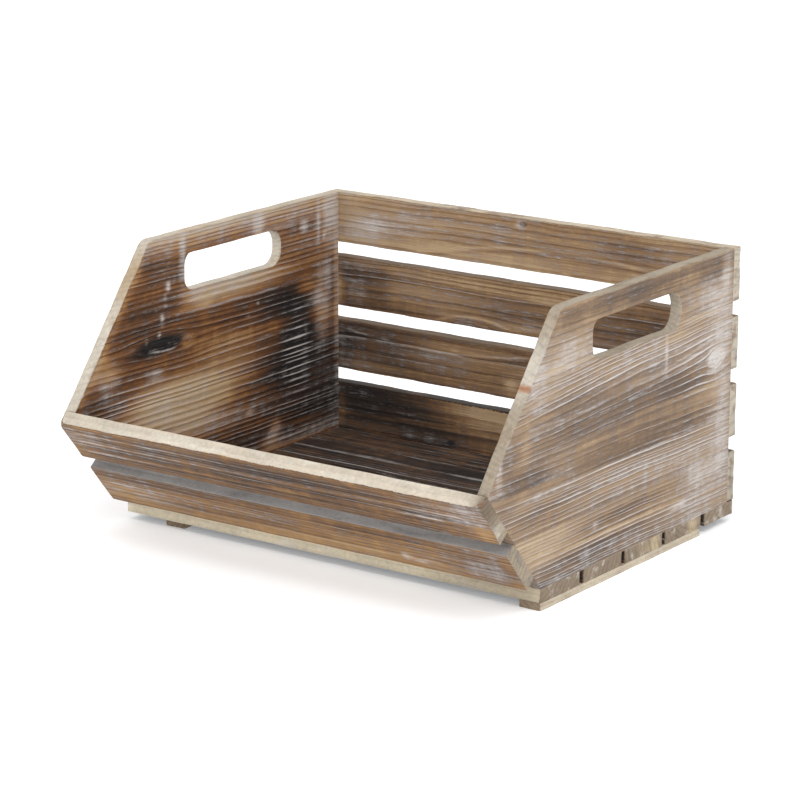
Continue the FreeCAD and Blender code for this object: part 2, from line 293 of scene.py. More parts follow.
def place_node(tree, kind, *values, **settings):
    """A node with its inputs filled in order: a socket is linked, and None is left alone."""
    node = tree.nodes.new(kind)
    for name, setting in settings.items():
        setattr(node, name, setting)
    sockets = [socket for socket in node.inputs if socket.enabled]
    for socket, value in zip(sockets, values):
        if isinstance(value, bpy.types.NodeSocket):
            tree.links.new(value, socket)
        elif value is not None:
            socket.default_value = value
    return node


def maths(tree, operation, *values, **settings):
    return place_node(tree, "ShaderNodeMath", *values, operation=operation, **settings).outputs[0]


def soft_step(tree, value, low, high, from_zero=0.0, to_one=1.0):
    node = place_node(tree, "ShaderNodeMapRange", value, low, high, from_zero, to_one,
                      interpolation_type="SMOOTHSTEP")
    return node.outputs[0]


def even_step(tree, value, low, high, from_zero=0.0, to_one=1.0):
    return place_node(tree, "ShaderNodeMapRange", value, low, high, from_zero, to_one).outputs[0]


def mix(tree, factor, first, second):
    node = place_node(tree, "ShaderNodeMix", factor, first, second, data_type="RGBA")
    return node.outputs[2]


def streaks(tree, vector, along, across, detail, roughness=0.5):
    """Noise drawn out along the grain. The rates are features to the metre."""
    rates = place_node(tree, "ShaderNodeVectorMath", vector, (along, across, across),
                       operation="MULTIPLY")
    noise = place_node(tree, "ShaderNodeTexNoise", rates.outputs[0], 1.0, detail, roughness)
    return noise.outputs[0]


def weighed(tree, *parts):
    """The sum of values by their weights, each value taken about its middle."""
    total = None
    for value, weight, middle in parts:
        part = maths(tree, "MULTIPLY_ADD", value, weight, -weight * middle)
        total = part if total is None else maths(tree, "ADD", total, part)
    return total


def tinted(tree, colour, factor):
    scaled = place_node(tree, "ShaderNodeVectorMath", colour, operation="SCALE")
    tree.links.new(factor, scaled.inputs["Scale"])
    return scaled.outputs[0]


NUMBER, COLOUR, ARROW = "NodeSocketFloat", "NodeSocketColor", "NodeSocketVector"


def new_group(name, inputs, outputs):
    """An empty shader group, with its input and output nodes."""
    group = bpy.data.node_groups.new(name, "ShaderNodeTree")
    for label, kind in inputs:
        group.interface.new_socket(label, in_out="INPUT", socket_type=kind)
    for label, kind in outputs:
        group.interface.new_socket(label, in_out="OUTPUT", socket_type=kind)
    return group, group.nodes.new("NodeGroupInput"), group.nodes.new("NodeGroupOutput")


# The grain that brushing leaves: the hard late wood, whose dark band just before each hollow is
# also painted shade on the hollow's shadow side, the hollow that lime fills, how each ring took
# the finish, and the fibres, streaks and blotches that run along the board
GRAIN_VALUES = ("Late And Shade", "Hollow", "Tone", "Fibre", "Streak", "Blotch", "Fleck", "Smear")
grain_group, taken, given = new_group(
    "brushed_grain", [("Board", ARROW), ("Rings", NUMBER)],
    [(label, NUMBER) for label in GRAIN_VALUES])
board, rings = taken.outputs["Board"], taken.outputs["Rings"]
quiver = streaks(grain_group, board, 16, 300, 3.0)
wandering = maths(grain_group, "MULTIPLY_ADD", quiver, 0.4, rings)
phase = maths(grain_group, "FRACT", wandering)
# Late wood band ending just before each hollow: latewood, and painted shade on its shadow side
late_and_shade = maths(grain_group, "SUBTRACT", soft_step(grain_group, phase, 0.5, 0.94),
             soft_step(grain_group, phase, 0.95, 1.0))
hollow = maths(grain_group, "SUBTRACT", soft_step(grain_group, phase, 0.0, 0.05),
               soft_step(grain_group, phase, 0.14, 0.3))
tone = place_node(grain_group, "ShaderNodeTexNoise", wandering, 0.83, 1.0, noise_dimensions="1D")
drawn = {"Late And Shade": late_and_shade, "Hollow": hollow, "Tone": tone.outputs[0],
         "Fibre": streaks(grain_group, board, 9, 560, 3.0, 0.65),
         "Streak": streaks(grain_group, board, 4, 170, 4.0, 0.6),
         "Blotch": streaks(grain_group, board, 13, 38, 4.0, 0.6),
         "Fleck": streaks(grain_group, board, 100, 640, 4.0, 0.75),
         "Smear": streaks(grain_group, board, 95, 24, 4.0, 0.6)}
for label in GRAIN_VALUES:
    grain_group.links.new(drawn[label], given.inputs[label])

# The finish: from bare wood through tan and brown to charcoal, then lime as a film over the
# surface and as lines in the hollows
TONES = ("Bare", "Tan", "Brown", "Dark", "Charcoal")
finish_group, taken, given = new_group(
    "scorch_and_lime",
    [(label, NUMBER) for label in GRAIN_VALUES + ("Scorch", "Lime", "Lines", "Knots")]
    + [(label, COLOUR) for label in TONES + ("Chalk",)],
    [("Color", COLOUR), ("Roughness", NUMBER), ("Height", NUMBER)])
late_and_shade, hollow, tone, fibre, streak, blotch, fleck, smear = (
    taken.outputs[label] for label in GRAIN_VALUES)
# The late band darkens the colour a little, as latewood and as painted shade beside each hollow
burnt = weighed(finish_group, (late_and_shade, 0.10, 0.3), (tone, 0.12, 0.5), (streak, 0.5, 0.5),
                (blotch, 0.7, 0.5), (fibre, 0.7, 0.5), (fleck, 0.5, 0.5), (smear, 0.45, 0.5),
                (taken.outputs["Knots"], 0.4, 0.0), (taken.outputs["Scorch"], 1.0, 0.0))
colour = taken.outputs["Bare"]
for number, label in enumerate(TONES[1:]):
    share = even_step(finish_group, burnt, number * 0.25, (number + 1) * 0.25)
    colour = mix(finish_group, share, colour, taken.outputs[label])
film = weighed(finish_group, (late_and_shade, -0.14, 0.3), (streak, 0.6, 0.5), (blotch, 0.6, 0.5),
               (fibre, 1.1, 0.5), (fleck, 1.3, 0.5), (smear, 0.75, 0.5),
               (taken.outputs["Lime"], 1.0, 0.0))
film = soft_step(finish_group, film, -0.1, 1.05, 0.0, 0.95)
filled = weighed(finish_group, (tone, 1.4, 0.5), (fibre, 1.2, 0.5), (blotch, 1.0, 0.5),
                 (fleck, 1.4, 0.5), (smear, 0.8, 0.5), (taken.outputs["Lines"], 1.2, 0.0))
filled = maths(finish_group, "SUBTRACT", filled, taken.outputs["Knots"], use_clamp=True)
filled = maths(finish_group, "MULTIPLY", filled, hollow)
chalky = maths(finish_group, "MAXIMUM", film, maths(finish_group, "MULTIPLY", filled, 0.9))
colour = mix(finish_group, chalky, colour, taken.outputs["Chalk"])
roughness = weighed(finish_group, (chalky, 0.2, 0.0), (fibre, 0.2, 0.5), (late_and_shade, -0.1, 0.0),
                    (blotch, 0.2, 0.5))
height = weighed(finish_group, (late_and_shade, 0.5, 0.0), (fibre, 0.9, 0.5), (fleck, 0.4, 0.5))
finish_group.links.new(colour, given.inputs["Color"])
finish_group.links.new(maths(finish_group, "ADD", roughness, 0.72), given.inputs["Roughness"])
finish_group.links.new(height, given.inputs["Height"])

# Sawn and sanded edges: paler than the faces, with the wear running a little over the arris
edge_group, taken, given = new_group(
    "sanded_edges",
    [("Color", COLOUR), ("Board", ARROW), ("Late And Shade", NUMBER), ("Side Gap", NUMBER),
     ("End Gap", NUMBER), ("Side", COLOUR), ("End", COLOUR), ("Wear", NUMBER),
     ("Stain", COLOUR), ("Sawn", NUMBER), ("Fresh", COLOUR), ("Knots", NUMBER),
     ("Resin", COLOUR)],
    [("Color", COLOUR)])
speckle = streaks(edge_group, taken.outputs["Board"], 330, 330, 5.0, 0.65)
drift = streaks(edge_group, taken.outputs["Board"], 26, 26, 4.0, 0.6)
uneven = weighed(edge_group, (speckle, 0.004, 0.5), (drift, 0.005, 0.5))
low = maths(edge_group, "MULTIPLY", taken.outputs["Wear"], 0.4)
shade = maths(edge_group, "ADD", weighed(edge_group, (speckle, 0.6, 0.5), (drift, 0.7, 0.5)), 1.0)
cloud = streaks(edge_group, taken.outputs["Board"], 34, 90, 4.0, 0.6)
stained = soft_step(edge_group, cloud, 0.5, 0.68, 0.0, 0.6)
colour = taken.outputs["Color"]
for kind, ringing in (("Side", -0.10), ("End", -0.22)):
    gap = taken.outputs[kind + " Gap"]
    gap = maths(edge_group, "ADD", gap, maths(edge_group, "MINIMUM", gap, uneven))
    bare = soft_step(edge_group, gap, low, taken.outputs["Wear"], 1.0, 0.0)
    brightness = maths(edge_group, "MULTIPLY_ADD", taken.outputs["Late And Shade"], ringing, shade)
    sanded = mix(edge_group, stained, taken.outputs[kind], taken.outputs["Stain"])
    sanded = mix(edge_group, taken.outputs["Sawn"], sanded, taken.outputs["Fresh"])
    sanded = mix(edge_group, taken.outputs["Knots"], sanded, taken.outputs["Resin"])
    colour = mix(edge_group, bare, colour, tinted(edge_group, sanded, brightness))
edge_group.links.new(colour, given.inputs["Color"])


def new_material(name):
    """A plain material, with its node tree and its shader."""
    material = bpy.data.materials.new(name)
    material.use_nodes = True
    return material, material.node_tree, material.node_tree.nodes["Principled BSDF"]


def set_inputs(node, **values):
    """Set a node's inputs by their names, with _ for each space."""
    for name, value in values.items():
        node.inputs[name.replace("_", " ")].default_value = value


FRESH_SAWN = (192, 174, 143)
RESIN = (150, 94, 54)
EDGE_WEAR = 1.3 * MM
GRAIN_BUMP = 0.6 * MM


def limewashed_wood(name, tones, side, end, stain=None, fresh=FRESH_SAWN):
    """A brushed softwood with its five scorched tones, and the colours of its bare edges."""
    material, tree, shader = new_material(name)
    link = tree.links.new

    def layer(key, output="Fac"):
        return place_node(tree, "ShaderNodeAttribute", attribute_name=key).outputs[output]

    board = layer("board", "Vector")
    grain = place_node(tree, "ShaderNodeGroup", board, layer("rings"), node_tree=grain_group)
    finish = place_node(tree, "ShaderNodeGroup", node_tree=finish_group)
    for label in GRAIN_VALUES:
        link(grain.outputs[label], finish.inputs[label])
    for label in ("Scorch", "Lime", "Lines", "Knots"):
        link(layer(label.lower()), finish.inputs[label])
    for label, tone in zip(TONES + ("Chalk",), tones):
        finish.inputs[label].default_value = srgb(*tone)
    edges = place_node(tree, "ShaderNodeGroup", finish.outputs["Color"], board,
                       grain.outputs["Late And Shade"], layer("side_gap"), layer("end_gap"),
                       srgb(*side), srgb(*end), EDGE_WEAR, srgb(*(stain or tones[2])),
                       layer("sawn"), srgb(*fresh), layer("knots"), srgb(*RESIN),
                       node_tree=edge_group)
    bump = place_node(tree, "ShaderNodeBump")
    set_inputs(bump, Strength=0.8, Distance=GRAIN_BUMP)
    link(finish.outputs["Height"], bump.inputs["Height"])
    link(bump.outputs[0], shader.inputs["Normal"])
    link(edges.outputs["Color"], shader.inputs["Base Color"])
    link(finish.outputs["Roughness"], shader.inputs["Roughness"])
    set_inputs(shader, Specular_IOR_Level=0.25)
    return material


CHALK = (206, 200, 196)
WARM_TONES = [(192, 163, 124), (164, 123, 80), (122, 81, 48), (72, 50, 37), (36, 33, 33), CHALK]
GREY_TONES = [(184, 163, 134), (155, 130, 102), (120, 98, 78), (84, 71, 63), (52, 47, 44), CHALK]
SANDED = (184, 170, 149)
SANDED_WHITE = (192, 184, 171)
SANDED_GREY = (152, 140, 123)
SANDED_PALE = (188, 179, 165)
BUFF_STAIN = (164, 144, 118)
BUFF_SAWN = (162, 142, 114)
UMBER_STAIN = (126, 108, 90)
left_wood = limewashed_wood("left_board_wood", WARM_TONES, SANDED_PALE, SANDED,
                            stain=BUFF_STAIN, fresh=BUFF_SAWN)
right_wood = limewashed_wood("right_board_wood", GREY_TONES, SANDED_GREY, SANDED,
                             stain=UMBER_STAIN, fresh=SANDED_WHITE)

side_low, side_high = (Vector(corner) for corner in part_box("side_panel_left"))
rear_y, foot_z, top_z = side_high.y, side_low.z, side_high.z
lip = Vector((rear_y - LIP_REACH, foot_z + LIP_HEIGHT))
toe = Vector((rear_y - FLOOR_REACH, foot_z))
brow = Vector((rear_y - TOP_LENGTH, top_z))
grip_rear, grip_top = rear_y - GRIP_SETBACK, top_z - GRIP_DROP
grip_front, grip_foot = grip_rear - GRIP_LENGTH, grip_top - GRIP_HEIGHT


def through_edges(*places):
    """Picks the edges that run straight through the board at these places."""
    def chosen(middle, direction):
        at = any((Vector((middle.x, middle.y)) - place).length < TOUCH for place in places)
        return at and abs(direction.z) > STRAIGHT
    return chosen


def gap_to_line(flat, start, end):
    """Distance from a line, more than zero on the board's side of it."""
    run = (end - start).normalized()
    return (flat - np.array(start)) @ np.array([-run.y, run.x])


def bare_edge_gap(points):
    """Distance from the edges that are open to the air: the top, the front slope, the hole."""
    flat = points[:, :2]
    gap = np.minimum(top_z - flat[:, 1], gap_to_line(flat, brow, lip))
    towards = (lip - brow).normalized(), Vector((1, 0))
    half = (towards[0] + towards[1]).normalized()
    sine = math.sin(towards[0].angle(towards[1]) / 2)
    away = flat - np.array(brow + half * TOP_CORNER_RADIUS / sine)
    in_corner = away @ -np.array(half) > TOP_CORNER_RADIUS * sine
    arc_gap = TOP_CORNER_RADIUS - np.linalg.norm(away, axis=1)
    gap = np.where(in_corner, np.minimum(gap, arc_gap), gap)
    centre = np.array([(grip_front + grip_rear) / 2, (grip_top + grip_foot) / 2])
    radius = np.where(flat[:, 0] > centre[0], GRIP_REAR_RADIUS, GRIP_FRONT_RADIUS)
    spread = np.array([GRIP_LENGTH, GRIP_HEIGHT]) / 2 - radius[:, None]
    beyond = np.abs(flat - centre) - spread
    hole = np.linalg.norm(np.maximum(beyond, 0), axis=1) - radius
    return np.clip(np.minimum(gap, hole), 0, FAR)


DULL_RIM = 2 * MM
RIM_FADE = 1 * MM
TOP_RAIL = 6 * MM


def worn_gap(points):
    """The open edges that hands and sanding have bared, all but the top of the hole."""
    above = np.clip(points[:, 1] - (grip_top - DULL_RIM), 0, RIM_FADE)
    between = (points[:, 0] > grip_front) & (points[:, 0] < grip_rear)
    below_rail = top_z - points[:, 1] > TOP_RAIL
    return bare_edge_gap(points) + np.where(between & below_rail, above * 2, 0)


def side_outline_gap(points):
    """Distance from any edge of the side board, measured in its own plane."""
    flat = points[:, :2]
    covered = [rear_y - flat[:, 0], flat[:, 1] - foot_z, gap_to_line(flat, lip, toe)]
    return np.clip(np.min([bare_edge_gap(points)] + covered, axis=0), 0, FAR)


def no_end(points):
    """A side board's ends are covered or sloping, so every point is far from one."""
    return np.full(len(points), FAR)


# One board blank in its own frame, X along the crate's Y, Y up, Z through the thickness
blank = new_block("side_blank", (rear_y - lip.x, top_z - foot_z, SIDE_THICKNESS),
                  ((rear_y + lip.x) / 2, (top_z + foot_z) / 2, 0))
bpy.ops.object.mode_set(mode="EDIT")
for start, end in ((brow, lip), (lip, toe)):
    run = (end - start).normalized()
    bpy.ops.mesh.select_all(action="SELECT")
    bpy.ops.mesh.bisect(plane_co=(start.x, start.y, 0), plane_no=(-run.y, run.x, 0),
                        use_fill=True, clear_inner=True)
bpy.ops.object.mode_set(mode="OBJECT")
for corner, before, after, radius in ((brow, lip - brow, Vector((1, 0)), TOP_CORNER_RADIUS),
                                      (lip, brow - lip, toe - lip, LIP_RADIUS)):
    turn = math.pi - before.angle(after)
    bevel_edges(blank, radius * math.tan(turn / 2), ROUND_STEPS, through_edges(corner))
hole = new_block("hole", (GRIP_LENGTH, GRIP_HEIGHT, SIDE_THICKNESS * 2),
                 ((grip_front + grip_rear) / 2, (grip_top + grip_foot) / 2, 0))
for end, radius in ((grip_front, GRIP_FRONT_RADIUS), (grip_rear, GRIP_REAR_RADIUS)):
    bevel_edges(hole, radius, ROUND_STEPS,
                through_edges(Vector((end, grip_top)), Vector((end, grip_foot))))
cut_away(blank, hole)


def arris(middle, direction):
    """Picks the broad faces' open edges, which no slat covers, but not the top of the hole."""
    on_face = abs(abs(middle.z) - SIDE_THICKNESS / 2) < FLAT and abs(direction.z) < 1 - STRAIGHT
    in_rim = abs(middle.y - grip_top) < TOUCH
    return on_face and not in_rim and bare_edge_gap(np.array([middle]))[0] < 3 * TOUCH


bevel_edges(blank, SIDE_ARRIS, ARRIS_STEPS, arris)
slice_up(blank, 1, ACROSS_STEP)
slice_up(blank, 0, ALONG_STEP)

# Marks are in millimetres in the board's frame: along, up, half length, half height, strength
LEFT_LOOKS = {
    "grain": {"seed": 11, "pith": (-0.9, 0.35), "wave": 0.8 * MM,
              "widths": [(40, 4.4), (90, 5.3), (165, 5.0), (190, 4.0), (225, 3.4)],
              "knots": [(-67, 140, 7, 4.2), (-34, 136, 2.6, 1.5)]},
    "shift": (0.3, 0.1, 0.2), "scorch": 0.58, "lime": -0.05, "lines": -0.06,
    "sawn": [(-105, 205, 24, 24, 0.9), (60, 230, 120, 6, 0.5)],
    "face": {
        "scorch": [(116, 107, 20, 34, 0.46), (96, 145, 30, 15, 0.32), (88, 84, 30, 20, 0.26),
                   (150, 134, 10, 34, -0.32), (-45, 84, 66, 24, -0.70), (20, 108, 46, 22, -0.26),
                   (26, 171, 74, 10, -0.56), (-85, 156, 52, 24, 0.07), (160, 210, 14, 26, -0.25),
                   (-67, 139, 26, 6, 0.45), (-34, 136, 8, 5, -0.40), (-138, 104, 24, 11, 0.08),
                   (-136, 130, 18, 14, -0.26), (40, 40, 170, 18, 0.20), (48, 58, 7, 3, -0.4),
                   (114, 118, 32, 46, 0.10), (-10, 58, 50, 12, -0.14), (-105, 120, 30, 16, 0.02),
                   (0, 221, 190, 8, -0.22), (172, 130, 6, 110, -0.3), (120, 190, 40, 30, -0.12),
                   (122, 206, 24, 10, 0.16), (130, 26, 50, 6, 0.1), (-62, 136, 60, 5, 0.12),
                   (-50, 173, 16, 8, 0.2), (-12, 164, 16, 10, -0.2), (-95, 200, 12, 12, -0.1),
                   (126, 151, 14, 8, -0.32), (45, 44, 40, 8, -0.12), (76, 26, 14, 8, -0.34),
                   (140, 30, 34, 10, -0.14), (172, 60, 8, 40, 0.3), (83, 37, 9, 7, -0.35),
                   (62, 217, 8, 12, -0.3), (112, 190, 26, 26, 0.16), (140, 70, 50, 44, 0.30),
                   (0, 226, 190, 5, -0.35), (20, 134, 60, 9, -0.04)],
        "lime": [(10, 174, 66, 9, 0.46), (162, 208, 12, 26, 0.62), (-38, 206, 3.4, 26, 0.55),
                 (62, 217, 7, 12, 0.5), (144, 205, 3, 20, 0.5), (124, 205, 5, 6, 0.5),
                 (153, 192, 2, 3.5, 0.6), (-74, 115, 12, 6, 0.45), (47, 58, 5, 3, 0.35),
                 (83, 40, 7, 7, 0.3), (76, 30, 10, 4, 0.3), (-57, 185, 3.4, 4, 1.0),
                 (-59.5, 178, 2, 3, 0.6), (-62, 171, 2, 2.6, 0.55), (-65, 161, 2.4, 3.4, 0.9),
                 (-66, 154, 1.8, 2.4, 0.6), (-68, 148, 2, 2.6, 0.8), (46.5, 140.5, 2.6, 2, 0.8),
                 (60, 150, 2, 2, 0.5), (-84, 144, 2, 4, 0.5), (-34, 139, 6, 2, 0.45),
                 (150, 134, 13, 34, 0.44), (-45, 84, 66, 20, 0.36), (0, 226, 190, 4, 0.35),
                 (-130, 112, 10, 14, 0.2), (160, 158, 6, 18, 0.25), (-30, 56, 60, 12, 0.25),
                 (20, 134, 60, 12, -0.2), (-47, 138, 1.6, 4, 0.7), (-100, 175, 40, 40, -0.1),
                 (124, 212, 40, 10, 0.2), (0, 221, 190, 7, 0.16), (172, 130, 6, 110, 0.4),
                 (-134, 122, 20, 13, 0.24), (140, 140, 10, 8, 0.3), (-52, 205, 16, 30, 0.08),
                 (-50, 173, 16, 8, -0.15), (118, 196, 32, 16, 0.28), (20, 216, 170, 6, 0.26),
                 (20, 60, 50, 8, 0.2), (70, 146, 90, 12, -0.2), (80, 100, 30, 20, -0.14),
                 (45, 42, 30, 12, -0.2), (-95, 136, 16, 8, -0.2), (125, 23, 60, 8, 0.34),
                 (84, 30, 14, 12, 0.12), (-80, 105, 30, 10, 0.12)],
        "lines": [(114, 96, 19, 34, 1.0), (40, 172, 80, 14, 0.5), (-95, 103, 50, 18, 0.6),
                  (20, 108, 70, 24, 0.35), (60, 50, 100, 20, 0.3), (120, 205, 60, 18, 0.4)],
        "lime_strokes": [((-86, 138), (-68, 134), (-44, 134), 1.0, 0.7)],
        "scorch_strokes": [((-172, 104), (-125, 163), (-84, 218), 8, -0.28)],
    },
    "reverse": {
        "scorch": [(60, 130, 120, 22, 0.16), (-100, 120, 40, 34, -0.1), (90, 60, 60, 20, 0.2)],
        "lime": [(100, 160, 60, 26, 0.22), (-40, 60, 90, 20, 0.22), (-120, 130, 30, 20, 0.2)],
        "lines": [(40, 90, 120, 40, 0.3)],
    },
}
RIGHT_LOOKS = {
    "grain": {"seed": 23, "pith": (-0.7, -0.3), "wave": 0.9 * MM,
              "widths": [(0, 3.4), (25, 2.8), (50, 3.8), (70, 2.9), (84, 3.4), (96, 5.0),
                         (148, 5.5), (154, 3.2), (178, 3.5), (188, 6.0)],
              "tilt": [(70, 0.0), (110, -0.01), (150, 0.07), (175, 0.04), (215, 0.0)],
              "knots": [(150, 142, 6, 1.4), (-122, 174.5, 3.6, 1.0)]},
    "shift": (0.8, 0.4, 0.6), "scorch": 0.43, "lime": 0.11, "lines": 0.25,
    "sawn": [(-118, 190, 28, 26, 0.9), (88, 193, 20, 20, 0.25), (-165, 112, 8, 14, -0.6)],
    "face": {
        "scorch": [(-4, 134, 125, 17, 0.20), (95, 130, 40, 12, 0.16), (40, 108, 120, 5, 0.10),
                   (-70, 150, 50, 6, 0.10), (60, 158, 60, 4, 0.08),
                   (40, 98, 130, 6, 0.16), (45, 219, 150, 9, 0.10), (33, 25, 140, 9, 0.16),
                   (-105, 50, 50, 14, -0.26), (-125, 127, 8, 13, -0.20), (-15, 39, 74, 2, -0.34),
                   (-120, 78, 40, 10, 0.06), (20, 216, 130, 4, 0.08), (-120, 104, 26, 12, 0.16),
                   (-60, 190, 30, 16, -0.10), (45, 166, 140, 12, -0.06), (105, 214, 18, 6, -0.15),
                   (150, 214, 14, 9, 0.06), (-62, 214, 16, 10, 0.12), (120, 56, 60, 22, 0.03),
                   (-150, 104, 16, 24, 0.12), (-80, 78, 50, 10, 0.08), (-50, 34, 80, 7, 0.10),
                   (-60, 22, 60, 12, 0.12), (-105, 14, 12, 8, 0.4), (40, 152, 110, 3, 0.12),
                   (-140, 130, 18, 20, 0.08), (150, 118, 24, 8, -0.1), (40, 196, 110, 8, 0.05),
                   (-90, 181, 50, 2.5, -0.25), (130, 181, 40, 2.5, -0.3), (0, 50, 60, 6, 0.10),
                   (158, 60, 14, 50, 0.02)],
        "lime": [(-60, 190, 28, 12, 0.26), (-110, 176, 32, 22, 0.28), (45, 166, 140, 12, 0.06),
                 (72, 161, 2, 18, 0.45), (148, 142, 13, 10, 0.72), (160, 150, 20, 12, 0.22),
                 (95, 130, 36, 10, -0.16), (-10, 134, 110, 16, -0.12), (-40, 160, 60, 8, -0.08),
                 (50, 103, 100, 14, -0.42), (-120, 104, 26, 14, -0.2), (60, 80, 120, 12, 0.10),
                 (-105, 64, 40, 20, -0.12), (-28, 48, 5, 4, 0.5), (135, 54, 36, 10, 0.40),
                 (95, 34, 14, 3, 0.5), (-160, 118, 4, 12, 0.5), (45, 218, 150, 10, -0.34),
                 (130, 195, 30, 12, 0.24), (160, 96, 18, 44, 0.30), (-125, 127, 7, 11, -0.25),
                 (156, 178, 20, 24, 0.34), (125, 30, 60, 18, 0.30), (162, 212, 8, 18, 0.45),
                 (10, 40, 90, 9, -0.26), (20, 52, 80, 5, -0.22), (-60, 78, 70, 12, -0.06),
                 (120, 68, 60, 8, 0.2), (-120, 92, 24, 8, 0.2), (156, 112, 20, 24, 0.06)],
        "lines": [(45, 166, 150, 14, 0.55), (30, 79, 170, 16, 0.40), (30, 28, 160, 14, 0.4),
                  (130, 140, 40, 30, 0.4), (0, 130, 120, 14, -0.1), (-20, 50, 120, 10, 0.1),
                  (45, 214, 180, 12, -0.9), (-20, 103, 150, 6, -0.3)],
        "lime_strokes": [((-128, 143), (40, 146), (172, 165), 1.0, 0.24),
                         ((-130, 140), (60, 141), (120, 150), 0.9, 0.18),
                         ((-100, 100.5), (40, 101), (160, 101), 0.9, 0.35),
                         ((-120, 90), (0, 91), (150, 92), 0.9, 0.3)],
    },
    "reverse": {
        "scorch": [(100, 110, 40, 50, 0.4), (-60, 60, 100, 26, 0.3), (0, 30, 150, 20, 0.25)],
        "lime": [(0, 165, 80, 12, 0.2), (-80, 110, 30, 14, 0.2)],
        "lines": [(100, 110, 50, 50, 0.5)],
    },
}
THROUGH_X = Matrix(((0, 0, 1), (1, 0, 0), (0, 1, 0)))


def put_in_place(piece, turn, place):
    """Turn the mesh from its board's frame into the crate's, and move it to its place."""
    matrix = turn.to_4x4()
    matrix.translation = place
    piece.data.transform(matrix)
    piece.data.update()


def join_crate(piece, node, material):
    """Let the piece stand for its CAD node, and give it its finish."""
    piece.data.materials.clear()
    piece.data.materials.append(material)
    deselect_all()
    piece.select_set(True)
    bpy.context.view_layer.objects.active = piece
    bpy.ops.object.shade_smooth_by_angle(angle=SMOOTH_ANGLE)
    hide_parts(node)
    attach(piece, "root")


def make_side(node, looks, material):
    """One side board from the shared blank, brushed and marked by itself."""
    piece = blank.copy()
    piece.data = blank.data.copy()
    piece.name = node.replace("panel", "board")
    bpy.context.scene.collection.objects.link(piece)
    broad = np.abs(points_of(piece)[:, 2]) > SIDE_THICKNESS / 2 - FLAT
    finish_board(piece, looks, side_outline_gap, bare_edge_gap, worn_gap, no_end, broad,
                 SIDE_RELIEF[node])
    low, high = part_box(node)
    put_in_place(piece, THROUGH_X, Vector(((low[0] + high[0]) / 2, 0, 0)))
    join_crate(piece, node, material)


make_side("side_panel_left", LEFT_LOOKS, left_wood)
make_side("side_panel_right", RIGHT_LOOKS, right_wood)
bpy.data.objects.remove(blank)

# Back slats
# Four planed softwood strips, nailed through their ends into the rear edges of the sides.
# Each was finished by itself, so each shows its own grain, knots and scorching.

SLAT_ARRIS = 1.2 * MM
SLAT_CORNER = 2.2 * MM
SLAT_RELIEF = 0.16 * MM
PLANED_RELIEF = 0.05 * MM
SLAT_STEP = 5 * MM
STREWN_MARKS = 4
BACK_THICKNESS = 10.5 * MM
BACK_TURN = Matrix(((1, 0, 0), (0, 0, -1), (0, 1, 0)))


def make_strip(node, turn, size, looks, material):
    """A strip in its own frame, X along the grain, Y across and Z into the crate.

    Its looks can name a wider round for its outer ends, and a last shaping by hand."""
    length, width, thickness = size
    strip = new_block(node.replace("slat", "board"), size)
    bevel_edges(strip, looks.get("corner", SLAT_CORNER), ARRIS_STEPS,
                lambda middle, direction: abs(direction.z) > STRAIGHT)
    if "outer_end" in looks:
        bevel_edges(strip, looks["outer_end"], ARRIS_STEPS + 1,
                    lambda middle, direction: abs(direction.y) > STRAIGHT and middle.z < 0)
    bevel_edges(strip, SLAT_ARRIS, ARRIS_STEPS,
                lambda middle, direction: abs(direction.x) > STRAIGHT)
    near_outer = -thickness / 2.1
    bevel_edges(strip, SLAT_ARRIS, ARRIS_STEPS,
                lambda middle, direction: abs(direction.y) > STRAIGHT and middle.z < near_outer)
    slice_up(strip, 1, ACROSS_STEP)
    slice_up(strip, 0, SLAT_STEP)
    if "shaping" in looks:
        looks["shaping"](strip, size)

    def end_gap(points):
        return np.clip(length / 2 - np.abs(points[:, 0]), 0, FAR)

    def outline_gap(points):
        return np.minimum(end_gap(points), np.clip(width / 2 - np.abs(points[:, 1]), 0, FAR))

    def open_gap(points):
        hidden = np.where(points[:, 2] > 0, FAR, 0)
        sides = np.clip(width / 2 - np.abs(points[:, 1]), 0, FAR)
        return np.minimum(np.clip(end_gap(points) + hidden, 0, FAR), sides)

    def bare_gap(points):
        return np.clip(width / 2 - looks["bare_side"] * points[:, 1], 0, FAR)

    broad = np.abs(points_of(strip)[:, 2]) > thickness / 2 - FLAT
    finish_board(strip, looks, outline_gap, open_gap, bare_gap, end_gap, broad,
                 looks.get("relief", SLAT_RELIEF))
    low, high = (Vector(corner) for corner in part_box(node))
    put_in_place(strip, turn, (low + high) / 2)
    join_crate(strip, node, material)


def strip_looks(seed, scorch, lime, lines=0.1, bare_side=1, grain=None, face=None, reverse=None):
    """A strip's looks. Its bare side is 1 or -1 across the grain, and 0 has none.

    A face with no marks of its own has soft patches strewn over it."""
    rng = np.random.default_rng(seed)
    shift = tuple(rng.uniform(-2, 2, 3))
    own_grain = {"seed": seed, "pith": (rng.uniform(-0.1, 0.1), rng.uniform(0.03, 0.07)),
                 "widths": [(-40, 4.0), (40, 4.0)]}
    own_grain.update(grain or {})
    strewn = {"scorch": [], "lime": []}
    for key, strength in (("scorch", 0.25), ("lime", 0.3)):
        for number in range(STREWN_MARKS):
            mark = (rng.uniform(-180, 180), rng.uniform(-20, 20), rng.uniform(20, 70),
                    rng.uniform(6, 16), strength * rng.uniform(-1, 1))
            strewn[key].append(mark)
    return {"grain": own_grain, "shift": shift, "scorch": scorch, "lime": lime, "lines": lines,
            "bare_side": bare_side, "face": face or strewn, "reverse": reverse or strewn}


